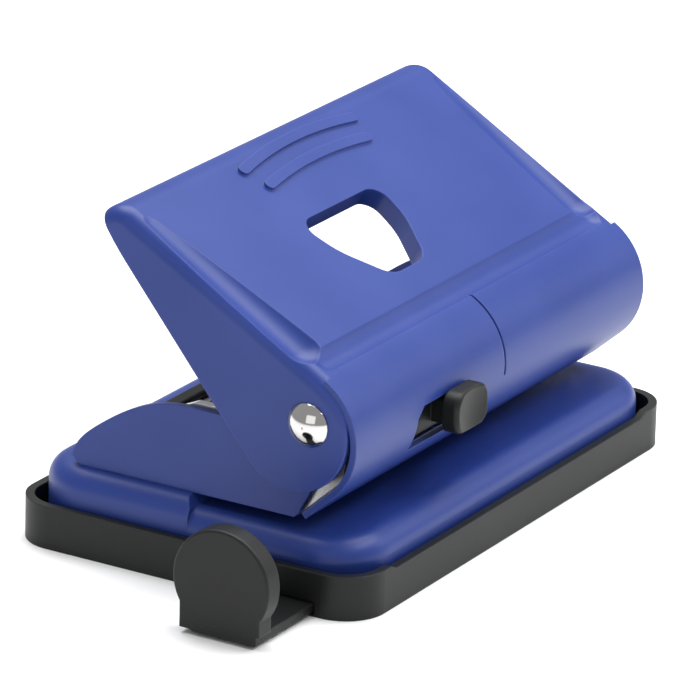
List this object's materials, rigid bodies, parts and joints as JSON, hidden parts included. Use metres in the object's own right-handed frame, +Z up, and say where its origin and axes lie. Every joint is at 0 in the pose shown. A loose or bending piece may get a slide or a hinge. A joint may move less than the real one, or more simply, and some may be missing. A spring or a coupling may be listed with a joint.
{
  "type": "hole punch",
  "caption": "Desk paper punch: rocking lever with barrel front over a low base in a chip tray, two punch pins, a sliding lock and a paper gauge.",
  "frame": {"origin": "centre of the tray's underside, midway between the two holes", "axes": "+X along the paper edge and the line of holes, to the right of someone facing the paper slot from the front; -Y towards the side the paper enters; +Z up"},
  "size_m": [0.1305, 0.072, 0.0642],
  "materials": {
    "blue_paint": "semi-gloss baked enamel over pressed steel",
    "black_plastic": "satin moulded ABS with a fine grain",
    "bright_steel": "plain bright zinc-plated steel",
    "chrome": "polished chrome plate",
    "hard_steel": "ground tool steel",
    "black_strip": "matt black rubber strip"
  },
  "bodies": {
    "tray": {"chip_tray": "black_plastic"},
    "gauge": {"gauge_bar": "black_plastic", "gauge_stop": "black_plastic"},
    "base": {"base_pan": "blue_paint", "left_cheek": "blue_paint", "right_cheek": "blue_paint", "punch_bridge": "bright_steel", "bridge_buffer": "black_strip", "upper_guide": "bright_steel", "left_die": "hard_steel", "right_die": "hard_steel", "bridge_rivets": "bright_steel", "cheek_rivets": "bright_steel", "lock_catch": "bright_steel", "left_pivot_rivet": "chrome", "right_pivot_rivet": "chrome", "left_pivot_washer": "bright_steel", "right_pivot_washer": "bright_steel", "left_return_spring": "bright_steel", "right_return_spring": "bright_steel"},
    "handle_lever": {"handle": "blue_paint", "left_press_pad": "bright_steel", "right_press_pad": "bright_steel", "lock_retainer": "bright_steel"},
    "lock": {"lock_slider": "black_plastic"},
    "left_pin": {"left_punch_pin": "hard_steel", "left_pin_clip": "bright_steel"},
    "right_pin": {"right_punch_pin": "hard_steel", "right_pin_clip": "bright_steel"}
  },
  "joints": [
    {"name": "tray_opening", "type": "hinge", "parent": "tray", "child": "base", "pos_m": [0, 0.031, 0.0094], "axis": [-1, 0, 0], "range_deg": [0, 30]},
    {"name": "gauge_slide", "type": "slide", "parent": "tray", "child": "gauge", "axis": [1, 0, 0], "range_m": [-0.078, 0.012]},
    {"name": "handle_press", "type": "hinge", "parent": "base", "child": "handle_lever", "pos_m": [0, -0.0223, 0.0327], "axis": [-1, 0, 0], "range_deg": [0, 25], "stiffness_Nm_per_rad": 0.4, "springref_deg": -28.65},
    {"name": "lock_slide", "type": "slide", "parent": "handle_lever", "child": "lock", "axis": [-1, 0, 0], "range_m": [0, 0.008]},
    {"name": "left_pin_stroke", "type": "slide", "parent": "base", "child": "left_pin", "axis": [0, 0, -1], "range_m": [0, 0.0046], "deforming": ["left_return_spring"]},
    {"name": "right_pin_stroke", "type": "slide", "parent": "base", "child": "right_pin", "axis": [0, 0, -1], "range_m": [0, 0.0046], "deforming": ["right_return_spring"]}
  ],
  "couplings": [
    {"joint": "left_pin_stroke", "follows": "handle_press", "m_per_rad": 0.0105},
    {"joint": "right_pin_stroke", "follows": "handle_press", "m_per_rad": 0.0105}
  ]
}
